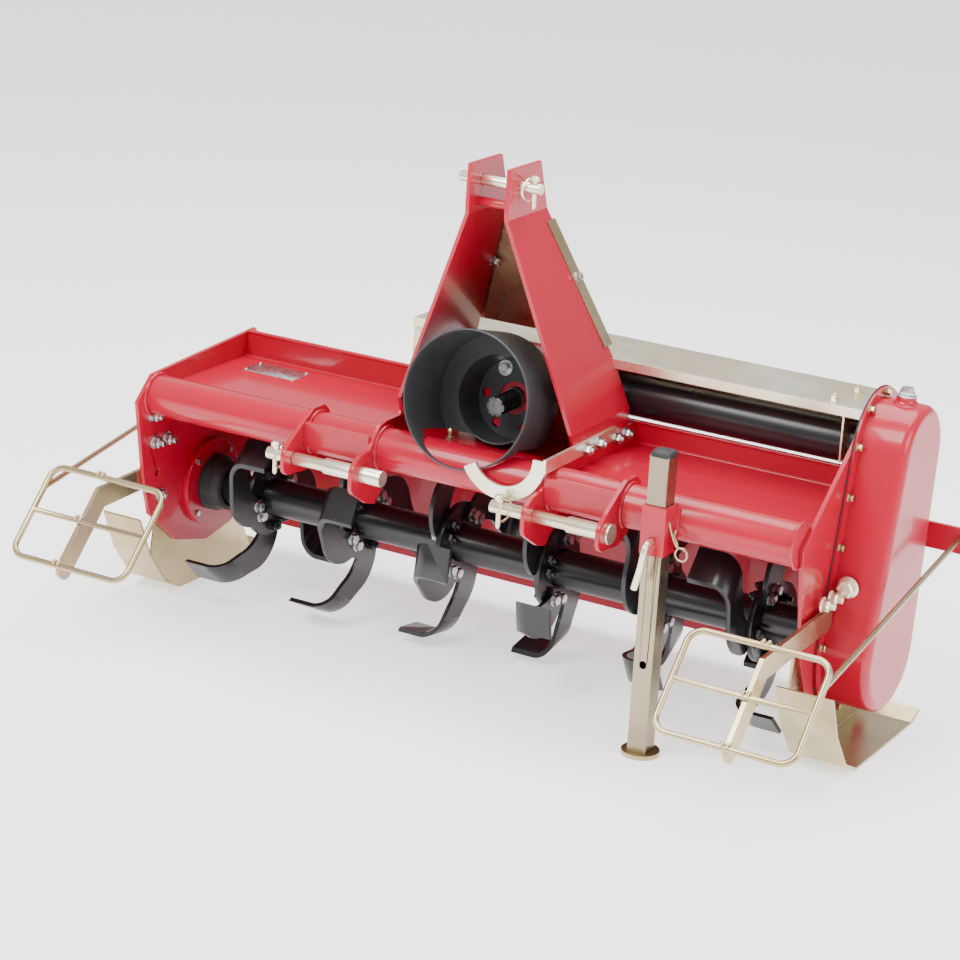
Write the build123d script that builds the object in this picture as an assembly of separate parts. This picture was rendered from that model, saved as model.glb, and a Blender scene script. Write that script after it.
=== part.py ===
"""Rotary tiller: solids for every named subcomponent, in millimetres."""
import os
from math import cos, radians, sin

from build123d import *

# Frame of the build: rotor axis on X at the origin, tractor side towards -Y, Z up.
# Everything is moved at the end so that the box's bottom centre is the origin.
ground_z = -200.0
mast_x = 15.0
sheet_t = 5.0
plate_t = 8.0

# Rotor flanges: their pattern sets the width between the side plates
flange_r, flange_t, flange_pitch, flange_n = 76.0, 10.0, 205.5, 6
end_room = 130.25

# Side plates and hood
plate_in = flange_pitch * (flange_n - 1) / 2 + end_room
plate_out = plate_in + plate_t
plate_hole_y, plate_hole_z, plate_hole_r = -165.0, 57.0, 7.0
left_profile = [(146, 270), (-184, 250), (-230, 205), (-205, 45), (-186, -21), (-98, -95),
                (0, -120), (80, -105), (170, -50), (256, 28), (256, 96)]
right_profile = [(66, 388), (-176, 200), (-139, -11), (-98, -95), (-30, -136), (60, -150),
                 (140, -116), (190, -50), (256, 28), (256, 96), (214, 300), (180, 372), (124, 396)]
deck_line = [(-134, 222), (112, 222), (186, 172), (226, 102)]
deck_t = 5.0
wall_y = 122.0
wall_top = 268.0
wall_top_drive = 258.0
wall_inner_x = 116.0

# Front beam and three-point hitch
beam_y, beam_z, beam_r = -170.0, 208.0, 38.0
pin_y, pin_z = -244.0, 178.0
pin_r = 11.0
bush_r = 14.3
hitch_inner_x, hitch_outer_x = 175.0, 316.0
hitch_gap = 0.4
inner_hitch = [(-278, 152), (-278, 196), (-252, 212), (-222, 216), (-188, 254), (-168, 258), (116, 258),
               (116, 222), (-134, 222), (-150, 205), (-160, 150), (-196, 112), (-226, 120)]
outer_hitch = [(-278, 152), (-278, 194), (-254, 214), (-214, 240), (-186, 256), (-150, 256), (-132, 240),
               (-150, 205), (-170, 160), (-204, 146)]
pin_out, pin_free, bush_free = 46.0, 82.0, 50.0
pin_head_r, pin_head_t = 18.0, 6.0
nose_round = 20.0
web_y0, web_y1, web_z0, web_z1 = -216.0, -208.0, 192.0, 238.0

# Mast
mast_top_x, mast_foot_x = 42.0, hitch_inner_x
mast_top_z, mast_flare_z, mast_foot_z = 735.0, 290.0, 258.0
mast_bend_z = mast_top_z - 87.0
mast_front, mast_back = -158.0, 90.0
mast_outline = [(-156, mast_top_z), (-50, mast_top_z), (-16, mast_top_z - 95), (78, mast_flare_z + 86),
                (mast_back, mast_flare_z), (mast_back, mast_foot_z), (-112, mast_foot_z),
                (-126, mast_flare_z), (mast_front, mast_top_z - 75)]
mast_t = 8.0
link_y, link_z, link_r = -112.0, mast_top_z - 35.0, 9.5
link_span = (-78.0, 78.0)
spacer_y, spacer_z, spacer_r = -118.0, mast_top_z - 71.0, 8.0
back_sheet_t, back_lip = 3.0, 24.0
back_sheet_top = (-10.0, mast_top_z - 107.0)
back_sheet_low = (77.0, mast_flare_z + 112.0)

# Drive line
pto_z = 297.0
pto_disc_y = -14.0
shaft_front_y, shaft_r, spline_depth, spline_w, spline_n = -84.0, 17.4, 2.4, 4.0, 6
shaft_step_y, shaft_journal_r = -20.0, 20.0
shaft_back_y = 60.0
shaft_bore_gap = 0.05
box_half_x, box_front_y, box_back_y, box_low_z, box_top_z = 96.0, 22.0, 206.0, 222.0, 376.0
box_round = 26.0
boss_r, boss_depth = 61.0, 60.0
guard_tilt = 12.0
guard_r, guard_back_r, guard_tube_r, guard_wall = 122.0, 117.0, 81.0, 3.0
guard_disc_r, guard_hole_r = 74.0, 30.0
vent_r, vent_circle, vent_n = 9.0, 56.0, 6
guard_ring_depth, guard_tube_depth = 120.0, 62.0
guard_band, guard_clear = 36.0, 4.0
window_h = 70.0
tube_y, tube_z, tube_r = 132.0, 302.0, 38.0
cover_y0, cover_y1, cover_z, cover_lip, cover_back = 74.0, 212.0, 376.0, 14.0, 60.0
cover_x0, cover_x1, cover_t, cover_end, cover_gap = -250.0, plate_in - 4.0, 3.0, 96.0, 2.0

# Chain case
case_in, case_w = plate_out, 90.0
case_out = case_in + case_w
case_top_y, case_top_z, case_top_r = 92.0, 318.0, 84.0
case_low_y, case_low_z, case_low_r = 40.0, -22.0, 105.0
case_flange, case_flange_t = 18.0, 6.0
case_edge = 16.0
plug_r, plug_h, plug_x = 11.0, 26.0, case_in + 48.0

# Rotor
rotor_r, rotor_half = 35.0, plate_in - 46.0
journal_r, journal_gap = 22.0, 0.05
journal_left, journal_right = -plate_out - 20.0, plate_out + 24.0
rotor_x, tine_gap = 12.0, 0.2
tine_t, tine_root, tine_reach, tine_lean = 8.0, 38.0, 184.0, 60.0
tine_outer = [(-22, 78), (8, 118), (68, 129)]
tine_inner = [(100, 74), (50, 70), (22, 50)]
tine_tip_back, tine_tip_front = -27.0, 35.0
tine_bend_r, tine_side = 26.0, 80.0
tine_sides = (-1, 1, -1, 1)
tine_start, tine_phase = 195.0, 18.5
bearing_r, bearing_depth, hub_r, hub_depth = 84.0, 12.0, 50.0, 30.0

# Skids
skid_w, skid_t = 84.0, 5.0
skid_line = [(214, -186), (176, -200), (-70, -200), (-120, -176), (-172, -108), (-206, -30)]
skid_web = [(170, -195), (-70, -195), (-116, -172), (-166, -106), (-150, 10), (-110, 10), (-60, -96),
            (120, -96)]

# Side guards
lattice_right = (plate_in - 112.0, plate_in + 136.0)
lattice_left = (plate_in - 132.0, plate_in + 116.0)
lattice_top = (-320.0, 84.0)
lattice_low = (-446.0, -50.0)
rod_r, cross_r = 5.5, 5.0
rod_corner = 26.0
arm_w, arm_t, arm_round = 40.0, 8.0, 18.0
arm_gap = 0.4
arm_points = [(-58, 74), (-130, 72), (-330, 66), (-452, -62)]
rail_end = (204.0, 146.0)
rail_start = 0.25
bracket_y, bracket_t, bracket_z0, bracket_z1 = 204.0, 8.0, 120.0, 166.0

# Parking stand
stand_x = 400.0
stand_w, stand_wall = 35.0, 3.0
sleeve_w, sleeve_z0, sleeve_z1, sleeve_gap, weld_gap = 44.0, 160.0, 246.0, 0.5, 0.2
stand_y = beam_y - beam_r - sleeve_w / 2 - weld_gap
stand_top = 332.0
foot_r, foot_t = 33.0, 8.0
lock_r, lock_z, lock_step = 6.5, 186.0, 220.0

# PTO rest
rest_y, rest_z, rest_x, rest_r0, rest_r1, rest_t = -222.0, 268.0, 97.0, 58.0, 84.0, 6.0
rest_cut, rest_flange_y, rest_flange_z0, rest_flange_z1 = 28.0, 30.0, 247.0, 272.0

# Tailboard
hinge_y, hinge_z, hinge_r, hinge_gap, barrel_r = 238.0, 62.0, 6.0, 0.05, 10.0
tail_half, tail_low, tail_t = plate_in - 10.0, -150.0, 5.0
rod_half = plate_out


def yz_plate(points, x0, x1):
    face = make_face(Polyline(*points, close=True))
    return extrude(Plane.YZ.offset(x0) * face, amount=x1 - x0)


def x_rod(y, z, r, x0, x1):
    return Pos((x0 + x1) / 2, y, z) * Rot(0, 90, 0) * Cylinder(r, x1 - x0)


def y_rod(x, z, r, y0, y1):
    return Pos(x, (y0 + y1) / 2, z) * Rot(90, 0, 0) * Cylinder(r, y1 - y0)


def block(x0, x1, y0, y1, z0, z1):
    return Pos((x0 + x1) / 2, (y0 + y1) / 2, (z0 + z1) / 2) * Box(x1 - x0, y1 - y0, z1 - z0)


def strip_outline(points, thick):
    """Outline of even width along a line of (y, z) points, laid to the line's left side."""
    line = [Vector(0, y, z) for y, z in points]
    far = []
    for i, p in enumerate(line):
        before = (p - line[i - 1]).normalized() if i else None
        after = (line[i + 1] - p).normalized() if i + 1 < len(line) else None
        ends = [d for d in (before, after) if d is not None]
        sides = [Vector(0, -d.Z, d.Y) for d in ends]
        mid = sides[0] + sides[-1]
        scale = 2 * thick / (mid.dot(mid) / 2 + sides[0].dot(sides[-1]) + 1)
        far.append(p + mid * scale if len(ends) == 2 else p + sides[0] * thick)
    return [(v.Y, v.Z) for v in line] + [(v.Y, v.Z) for v in reversed(far)]


def yz_sheet(points, thick, x0, x1):
    return yz_plate(strip_outline(points, thick), x0, x1)


def rod_path(points, corner, r, close=False):
    path = FilletPolyline(*points, radius=corner, close=close)
    return sweep(Plane(origin=path @ 0, z_dir=path % 0) * Circle(r), path=path)


def tine(side):
    """Sickle outline seen along the rotor, cut from a strip that is bent sideways at its end."""
    along = Vector(0, sin(radians(tine_lean)), cos(radians(tine_lean)))
    across = Vector(0, cos(radians(tine_lean)), -sin(radians(tine_lean)))
    back = along * (tine_reach + tine_t) + across * tine_tip_back
    front = along * (tine_reach + tine_t) + across * tine_tip_front
    neck = ThreePointArc(*tine_outer)
    root_back, root_front = (tine_outer[0][0], tine_root), (tine_inner[-1][0], tine_root)
    sickle = make_face([
        Line(root_front, root_back), Line(root_back, tine_outer[0]), neck,
        TangentArc(tine_outer[-1], (back.Y, back.Z), tangent=neck % 1),
        Line((back.Y, back.Z), (front.Y, front.Z)), Line((front.Y, front.Z), tine_inner[0]),
        ThreePointArc(*tine_inner), Line(tine_inner[-1], root_front)])
    outer = tine_bend_r + tine_t
    strip = make_face([
        Line((0, 0), (0, tine_reach - outer)),
        RadiusArc((0, tine_reach - outer), (outer, tine_reach), outer),
        Line((outer, tine_reach), (tine_side, tine_reach)),
        Line((tine_side, tine_reach), (tine_side, tine_reach - tine_t)),
        Line((tine_side, tine_reach - tine_t), (outer, tine_reach - tine_t)),
        RadiusArc((outer, tine_reach - tine_t), (tine_t, tine_reach - outer), -tine_bend_r),
        Line((tine_t, tine_reach - outer), (tine_t, 0)), Line((tine_t, 0), (0, 0))])
    bent = Rot(-tine_lean, 0, 0) * extrude(Plane.XZ * strip, amount=tine_reach, both=True)
    blade = bent & extrude(Plane.YZ * sickle, amount=tine_side)
    return blade if side > 0 else mirror(blade, about=Plane.YZ)


nodes = {}

# Hood and side plates
beam = x_rod(beam_y, beam_z, beam_r, -plate_in, plate_in)
nodes["front_beam"] = beam
left_hole = x_rod(0, 0, hub_r, -plate_out, -plate_in)
left_hole += x_rod(plate_hole_y, plate_hole_z, plate_hole_r, -plate_out, -plate_in)
nodes["side_plate_left"] = yz_plate(left_profile, -plate_out, -plate_in) - left_hole
right_hole = x_rod(0, 0, journal_r + journal_gap, plate_in, plate_out)
nodes["side_plate_right"] = yz_plate(right_profile, plate_in, plate_out) - right_hole
hinge_holes = x_rod(hinge_y, hinge_z, hinge_r, -plate_out, plate_out)
for name in ("side_plate_left", "side_plate_right"):
    nodes[name] = nodes[name] - hinge_holes
deck = yz_sheet(deck_line, -deck_t, -plate_in, plate_in)
nodes["hood_deck"] = deck - beam
for side, name, top_z in ((-1, "left", wall_top), (1, "right", wall_top_drive)):
    x0, x1 = sorted((side * wall_inner_x, side * plate_in))
    nodes["rear_wall_" + name] = block(x0, x1, wall_y - sheet_t, wall_y, deck_line[0][1], top_z)
nodes["hinge_rod"] = x_rod(hinge_y, hinge_z, hinge_r, -rod_half, rod_half)

# Hitch plates and pins: each pin's thick half sits in the right-hand plate of its pair
for side, name in ((-1, "left"), (1, "right")):
    for kind, x, points in (("inner", hitch_inner_x, inner_hitch), ("outer", hitch_outer_x, outer_hitch)):
        x0, x1 = sorted((side * (x - plate_t), side * x))
        outline = make_face(Polyline(*points, close=True))
        outline = fillet(outline.vertices().sort_by(Axis.X)[:2], nose_round)
        plate = extrude(Plane.YZ.offset(x0) * outline, amount=plate_t)
        thick = kind == ("inner" if side < 0 else "outer")
        hole_r = (bush_r if thick else pin_r) + hitch_gap
        nodes[f"hitch_plate_{kind}_{name}"] = plate - x_rod(pin_y, pin_z, hole_r, x0, x1) - beam - deck
    w0, w1 = sorted((side * hitch_inner_x, side * (hitch_outer_x - plate_t)))
    nodes["hitch_web_" + name] = block(w0, w1, web_y0, web_y1, web_z0, web_z1) - beam
hitch_mid = (hitch_inner_x + hitch_outer_x - plate_t) / 2
left_pin = x_rod(pin_y, pin_z, pin_r, -hitch_outer_x - pin_out, -hitch_mid)
nodes["lower_pin_left"] = left_pin + x_rod(pin_y, pin_z, bush_r, -hitch_mid, bush_free - hitch_inner_x)
right_pin = x_rod(pin_y, pin_z, pin_r, hitch_inner_x - pin_free, hitch_mid)
head_x = hitch_outer_x + hitch_gap
right_pin += x_rod(pin_y, pin_z, bush_r, hitch_mid, head_x)
right_pin += x_rod(pin_y, pin_z, pin_head_r, head_x, head_x + pin_head_t)
nodes["lower_pin_right"] = right_pin

# Mast
for side, name in ((-1, "left"), (1, "right")):
    strip = [(mast_top_x, mast_top_z), (mast_top_x, mast_bend_z), (mast_foot_x, mast_flare_z),
             (mast_foot_x, mast_foot_z)]
    strip += [(x - mast_t, z) for x, z in reversed(strip)]
    face = make_face(Polyline(*[(side * x, z) for x, z in strip], close=True))
    bent = extrude(Plane.XZ.offset(-mast_back) * face, amount=mast_back - mast_front)
    outline = yz_plate(mast_outline, *sorted((0, side * mast_foot_x)))
    nodes["mast_plate_" + name] = (bent & outline) - x_rod(link_y, link_z, link_r, *link_span)
nodes["top_link_pin"] = x_rod(link_y, link_z, link_r, *link_span)
inside = mast_top_x - mast_t
nodes["mast_spacer"] = x_rod(spacer_y, spacer_z, spacer_r, -inside, inside)

# Drive line
shaft_hole = y_rod(0, pto_z, shaft_journal_r + shaft_bore_gap, 2 * shaft_front_y, shaft_back_y + sheet_t)
boss_place = Pos(0, pto_disc_y, pto_z) * Rot(-guard_tilt, 0, 0)
boss = boss_place * y_rod(0, 0, boss_r, 0, boss_depth)
gearbox = block(-box_half_x, box_half_x, box_front_y, box_back_y, box_low_z, box_top_z)
gearbox = fillet(gearbox.edges().filter_by(Axis.Y), box_round)
nodes["gearbox"] = gearbox + boss - shaft_hole
shaft = y_rod(0, pto_z, shaft_r, shaft_front_y, shaft_step_y)
shaft += y_rod(0, pto_z, shaft_journal_r, shaft_step_y, shaft_back_y)
for i in range(spline_n):
    turn = Pos(0, 0, pto_z) * Rot(0, 360 / spline_n * i, 0)
    groove = turn * block(-spline_w / 2, spline_w / 2, shaft_front_y, shaft_step_y,
                          shaft_r - spline_depth, shaft_r + spline_depth)
    shaft -= groove
nodes["pto_shaft"] = shaft
nodes["drive_tube"] = x_rod(tube_y, tube_z, tube_r, box_half_x + mast_x, plate_in)
lip = block(cover_x0, cover_x1, cover_y0 - cover_t, cover_y0, cover_z - cover_lip, cover_z)
top = block(cover_x0, cover_x1, cover_y0 - cover_t, cover_y1 + cover_t, cover_z, cover_z + cover_t)
back = block(cover_x0, cover_x1, cover_y1, cover_y1 + cover_t, cover_z - cover_back, cover_z)
nodes["drive_cover"] = lip + top + back
for x0, x1 in ((cover_x0, cover_x0 + cover_t), (cover_x1 - cover_t, cover_x1)):
    end = block(x0, x1, cover_y0, cover_y1, cover_z - cover_end, cover_z)
    nodes["drive_cover"] += end - x_rod(tube_y, tube_z, tube_r + cover_gap, x0, x1)

# Guard of the input shaft
ring_y = -guard_tube_depth - guard_ring_depth


def guard_rod(r, y0, y1, r1=None):
    body = Cylinder(r, y1 - y0) if r1 is None else Cone(r1, r, y1 - y0)
    return Pos(0, (y0 + y1) / 2, 0) * Rot(90, 0, 0) * body


guard = guard_rod(guard_r, ring_y, -guard_tube_depth, guard_back_r)
guard -= guard_rod(guard_r - guard_wall, ring_y, -guard_tube_depth - guard_wall, guard_back_r - guard_wall)
window_low = ring_y + guard_band
guard -= block(-guard_r, guard_r, window_low, 0, -guard_r - guard_wall, -window_h)
guard += guard_rod(guard_tube_r, -guard_tube_depth, 0, guard_disc_r)
guard -= guard_rod(guard_tube_r - guard_wall, -guard_tube_depth - guard_wall, -guard_wall,
                   guard_disc_r - guard_wall)
guard -= guard_rod(guard_hole_r, -guard_wall, 0)
for i in range(vent_n):
    guard -= Rot(0, 360 / vent_n * i, 0) * Pos(vent_circle, 0, 0) * guard_rod(vent_r, -guard_wall, 0)
nodes["pto_guard"] = boss_place * guard - x_rod(beam_y, beam_z, beam_r + guard_clear, -plate_in, plate_in)

# Chain case
def case_outline(grow):
    """Outline round the drive shaft's end and the rotor's end, joined by tangents."""
    top_end = Pos(case_top_y, case_top_z) * Circle(case_top_r + grow)
    low_end = Pos(case_low_y, case_low_z) * Circle(case_low_r + grow)
    return make_hull((top_end + low_end).edges())


case = extrude(Plane.YZ.offset(case_in) * case_outline(0), amount=case_out - case_in)
case = fillet(case.faces().sort_by(Axis.X)[-1].edges(), case_edge)
case += extrude(Plane.YZ.offset(case_in) * case_outline(case_flange), amount=case_flange_t)
nodes["chain_case"] = case - x_rod(0, 0, journal_r + journal_gap, case_in, journal_right + journal_gap)
plug_z = case_top_z + case_top_r
nodes["filler_plug"] = Pos(plug_x, case_top_y, plug_z + plug_h / 2) * Cylinder(plug_r, plug_h)

# Rotor
rotor = x_rod(0, 0, rotor_r, -rotor_half, rotor_half)
rotor += x_rod(0, 0, journal_r, journal_left, journal_right)
first = rotor_x - flange_pitch * (flange_n - 1) / 2
for i in range(flange_n):
    x = first + i * flange_pitch
    rotor += x_rod(0, 0, flange_r, x - flange_t / 2, x + flange_t / 2)
nodes["rotor_tube"] = rotor
for i in range(flange_n):
    blades = []
    for k, side in enumerate(tine_sides):
        angle = tine_start + 360 / len(tine_sides) * k + tine_phase * i
        x = first + i * flange_pitch + side * (flange_t / 2 + tine_gap)
        blades.append(Pos(x, 0, 0) * Rot(angle, 0, 0) * tine(side))
    nodes[f"tines_{i + 1}"] = Compound(blades)

# Left bearing
bearing = x_rod(0, 0, bearing_r, -plate_in, -plate_in + bearing_depth)
bearing += x_rod(0, 0, hub_r, journal_left, -plate_in + hub_depth)
nodes["bearing_left"] = bearing - x_rod(0, 0, journal_r + journal_gap, journal_left, -plate_in + hub_depth)

# Skids
left_sole = yz_sheet(skid_line, -skid_t, -plate_out - skid_w, -plate_out)
nodes["skid_left"] = left_sole + yz_plate(skid_web, -plate_out - skid_t, -plate_out)
right_sole = yz_sheet(skid_line, -skid_t, plate_in - skid_t, case_out)
nodes["skid_right"] = right_sole + yz_plate(skid_web, plate_in - skid_t, plate_in)

# Side guards
for side, name, (lattice_x0, lattice_x1) in ((-1, "left", lattice_left), (1, "right", lattice_right)):
    corners = [(lattice_x0, *lattice_top), (lattice_x1, *lattice_top),
               (lattice_x1, *lattice_low), (lattice_x0, *lattice_low)]
    corners = [(side * x, y, z) for x, y, z in corners]
    mid = [(corners[0][i] + corners[3][i]) / 2 for i in range(3)]
    mid_far = [(corners[1][i] + corners[2][i]) / 2 for i in range(3)]
    lattice = rod_path(corners, rod_corner, rod_r, close=True)
    bar = Edge.make_line(mid, mid_far)
    lattice += sweep(Plane(origin=bar @ 0, z_dir=bar % 0) * Circle(cross_r), path=bar)
    start = [corners[1][i] + rail_start * (corners[2][i] - corners[1][i]) for i in range(3)]
    rail = Edge.make_line(start, (side * lattice_x1, *rail_end))
    lattice += sweep(Plane(origin=rail @ 0, z_dir=rail % 0) * Circle(cross_r), path=rail)
    x0, x1 = sorted((side * plate_out, side * (lattice_x1 + 2 * rod_r)))
    bracket = block(x0, x1, bracket_y, bracket_y + bracket_t, bracket_z0, bracket_z1)
    nodes["rail_bracket_" + name] = bracket - lattice
    nodes["guard_" + name] = lattice
    arm_x = plate_out + arm_gap + (case_flange_t if side > 0 else 0)
    x0, x1 = sorted((side * arm_x, side * (arm_x + arm_t)))
    outline = make_face(Polyline(*strip_outline(arm_points, arm_w), close=True))
    outline = fillet(outline.vertices().sort_by(Axis.X)[:2], arm_round)
    nodes["guard_arm_" + name] = extrude(Plane.YZ.offset(x0) * outline, amount=arm_t) - lattice


# Parking stand
def square_post(half, z0, z1):
    return block(stand_x - half, stand_x + half, stand_y - half, stand_y + half, z0, z1)


sleeve = square_post(sleeve_w / 2, sleeve_z0, sleeve_z1)
sleeve -= square_post(stand_w / 2 + sleeve_gap, sleeve_z0, sleeve_z1)
sleeve -= y_rod(stand_x, lock_z, lock_r, stand_y - sleeve_w, stand_y + sleeve_w)
nodes["stand_sleeve"] = sleeve - beam
leg = square_post(stand_w / 2, ground_z + foot_t, stand_top)
leg -= square_post(stand_w / 2 - stand_wall, ground_z + foot_t, stand_top - stand_wall)
for z in (lock_z, lock_z - lock_step):
    leg -= y_rod(stand_x, z, lock_r, stand_y - sleeve_w, stand_y + sleeve_w)
nodes["stand_leg"] = leg
nodes["stand_foot"] = Pos(stand_x, stand_y, ground_z + foot_t / 2) * Cylinder(foot_r, foot_t)

# PTO rest
rest = Cylinder(rest_r1, rest_t) - Cylinder(rest_r0, rest_t)
for angle in (0, rest_cut):
    rest -= Rot(0, 0, angle) * Pos(0, rest_r1, 0) * Box(4 * rest_r1, 2 * rest_r1, rest_t)
flange = block(hitch_inner_x, hitch_inner_x + rest_t, rest_y - rest_t / 2, rest_flange_y,
               rest_flange_z0, rest_flange_z1)
rest = Pos(rest_x, rest_y, rest_z) * Rot(90, 0, 0) * rest + flange
nodes["pto_rest"] = rest - nodes["hitch_plate_inner_right"]

# Tailboard
tail = block(-tail_half, tail_half, hinge_y - tail_t / 2, hinge_y + tail_t / 2, tail_low, hinge_z)
tail += x_rod(hinge_y, hinge_z, barrel_r, -tail_half, tail_half)
nodes["tailboard"] = tail - x_rod(hinge_y, hinge_z, hinge_r + hinge_gap, -tail_half, tail_half)

# Sheet behind the mast, folded forward along the plates' outer faces
(y0, z0), (y1, z1) = back_sheet_low, back_sheet_top
slope = Vector(0, y1 - y0, z1 - z0)
place = Plane(origin=(0, y0, z0), x_dir=(1, 0, 0), z_dir=Vector(1, 0, 0).cross(slope.normalized()))
flare = (mast_foot_x - mast_top_x) / (mast_bend_z - mast_flare_z)
low_x = mast_foot_x - (z0 - mast_flare_z) * flare + back_sheet_t
high_x = mast_foot_x - (z1 - mast_flare_z) * flare + back_sheet_t
up = slope.length
sheet = make_face(Polyline((-low_x, 0), (low_x, 0), (high_x, up), (-high_x, up), close=True))
back_sheet = extrude(place * sheet, amount=-back_sheet_t)
lip_outline = [(y0 - back_lip, z0), (y0 + back_sheet_t, z0), (y1 + back_sheet_t, z1), (y1 - back_lip, z1)]
for side in (-1, 1):
    skin = [(mast_top_x, mast_bend_z), (mast_foot_x, mast_flare_z)]
    skin += [(x + back_sheet_t, z) for x, z in reversed(skin)]
    face = make_face(Polyline(*[(side * x, z) for x, z in skin], close=True))
    bent = extrude(Plane.XZ.offset(-mast_back) * face, amount=mast_back - mast_front)
    lip_x = mast_foot_x + back_sheet_t
    back_sheet += bent & yz_plate(lip_outline, *sorted((0, side * lip_x)))
nodes["mast_back_sheet"] = back_sheet - nodes["mast_plate_left"] - nodes["mast_plate_right"]

# Mast, hitch and input drive stand right of the frame's middle, in line with the tractor
centred = ("mast_", "hitch_", "lower_pin_", "top_link_pin", "gearbox", "pto_", "stand_")
for name in nodes:
    if name.startswith(centred):
        nodes[name] = Pos(mast_x, 0, 0) * nodes[name]
for name in ("mast_plate_left", "mast_plate_right", "gearbox", "mast_back_sheet"):
    nodes["drive_cover"] -= nodes[name]

boxes = [solid.bounding_box() for solid in nodes.values()]
low = [min(getattr(box.min, axis) for box in boxes) for axis in "XYZ"]
high = [max(getattr(box.max, axis) for box in boxes) for axis in "XYZ"]
shift = Pos(-(low[0] + high[0]) / 2, -(low[1] + high[1]) / 2, -low[2])
os.makedirs("parts", exist_ok=True)
for name, solid in nodes.items():
    export_step(shift * solid, f"parts/{name}.step")
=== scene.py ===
import bpy
import bmesh
from math import cos, pi, radians, sin
from mathutils import Matrix, Vector


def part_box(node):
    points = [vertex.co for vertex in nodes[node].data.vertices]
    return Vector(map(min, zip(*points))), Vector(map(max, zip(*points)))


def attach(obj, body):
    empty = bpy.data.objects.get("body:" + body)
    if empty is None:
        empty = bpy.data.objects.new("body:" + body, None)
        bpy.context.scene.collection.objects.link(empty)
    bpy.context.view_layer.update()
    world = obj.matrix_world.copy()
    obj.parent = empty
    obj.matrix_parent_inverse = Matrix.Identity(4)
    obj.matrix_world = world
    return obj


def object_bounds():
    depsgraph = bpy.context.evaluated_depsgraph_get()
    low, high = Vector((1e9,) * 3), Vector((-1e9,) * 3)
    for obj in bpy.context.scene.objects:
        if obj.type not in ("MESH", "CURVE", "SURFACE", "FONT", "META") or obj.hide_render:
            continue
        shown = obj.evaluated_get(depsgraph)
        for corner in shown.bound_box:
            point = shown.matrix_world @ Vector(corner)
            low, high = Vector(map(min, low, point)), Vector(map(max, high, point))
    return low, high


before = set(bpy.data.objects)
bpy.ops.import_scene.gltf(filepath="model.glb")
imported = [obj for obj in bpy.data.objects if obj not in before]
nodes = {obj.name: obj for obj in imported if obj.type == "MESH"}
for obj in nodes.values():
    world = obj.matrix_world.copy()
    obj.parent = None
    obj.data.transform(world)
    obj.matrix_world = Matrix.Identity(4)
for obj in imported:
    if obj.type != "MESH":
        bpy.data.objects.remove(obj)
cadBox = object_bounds()
mm = 0.001

# the rotor's axis and the middle of the side plates are the datum: places are in millimetres from there
rotorLow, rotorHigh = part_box("rotor_tube")
axisPoint = (rotorLow + rotorHigh) / 2
plateMiddle = (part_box("side_plate_left")[0].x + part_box("side_plate_right")[1].x) / 2


def spot(x, y, z):
    return Vector((plateMiddle + x * mm, axisPoint.y + y * mm, axisPoint.z + z * mm))


# a solid's box in the same millimetres
def boxHere(node):
    low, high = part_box(node)
    datum = Vector((plateMiddle, axisPoint.y, axisPoint.z))
    return (low - datum) / mm, (high - datum) / mm


def centreHere(node):
    low, high = boxHere(node)
    return (low + high) / 2


mastX = round(centreHere("top_link_pin").x, 2)

# the settings most worth changing for the look of the picture
camera = {"place": (2328.1, -4294.1, 1743.8), "turn": 29.01, "tilt": 18.23, "roll": -3.49,
          "lens": 107.99, "sensor": 36, "reach": 100}
studio = {"aim": (0, 0, 150), "aspect": 0.7, "lamps": [  # name, place, width, watts, colour
    ("keySoftbox", (-900, -2600, 3300), 2.6, 190, (1.0, 0.98, 0.96)),
    ("topSoftbox", (200, 700, 3400), 3.4, 170, (1.0, 1.0, 1.0)),
    ("rightStrip", (3300, -900, 1500), 2.2, 60, (0.98, 0.99, 1.0)),
]}
sky = {"strength": 0.95,
       "stops": [(0.0, (0.34, 0.34, 0.35)), (0.24, (0.86, 0.86, 0.87)), (0.6, (1.0, 1.0, 1.0))]}
floorLook = {"colour": (0.93, 0.93, 0.94), "half": 60.0, "rough": 0.9, "glow": 1.0}


def aimCamera():
    turn, tilt, roll = (radians(camera[k]) for k in ("turn", "tilt", "roll"))
    forward = Vector((-sin(turn) * cos(tilt), cos(turn) * cos(tilt), -sin(tilt)))
    right = Vector((cos(turn), sin(turn), 0))
    down = forward.cross(right)
    rolledRight = cos(roll) * right + sin(roll) * down
    rolledDown = cos(roll) * down - sin(roll) * right
    data = bpy.data.cameras.new("photoCamera")
    data.lens = camera["lens"]
    data.sensor_width = camera["sensor"]
    data.clip_end = camera["reach"]
    cam = bpy.data.objects.new("photoCamera", data)
    axes = Matrix((rolledRight, -rolledDown, -forward)).transposed().to_4x4()
    cam.matrix_world = Matrix.Translation(spot(*camera["place"])) @ axes
    bpy.context.scene.collection.objects.link(cam)
    bpy.context.scene.camera = cam


def hangLamps():
    for name, place, width, watts, colour in studio["lamps"]:
        data = bpy.data.lights.new(name, "AREA")
        data.shape = "RECTANGLE"
        data.size = width
        data.size_y = width * studio["aspect"]
        data.energy = watts
        data.color = colour
        lamp = bpy.data.objects.new(name, data)
        lamp.location = spot(*place)
        beam = spot(*studio["aim"]) - lamp.location
        lamp.rotation_euler = beam.to_track_quat("-Z", "Y").to_euler()
        bpy.context.scene.collection.objects.link(lamp)


def ramp(tree, fac, stops):
    node = tree.nodes.new("ShaderNodeValToRGB")
    stripe = node.color_ramp
    while len(stripe.elements) < len(stops):
        stripe.elements.new(0.5)
    for stop, (at, colour) in zip(stripe.elements, stops):
        stop.position = at
        stop.color = (*colour, 1)
    tree.links.new(fac, node.inputs["Fac"])
    return node.outputs["Color"]


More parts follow.
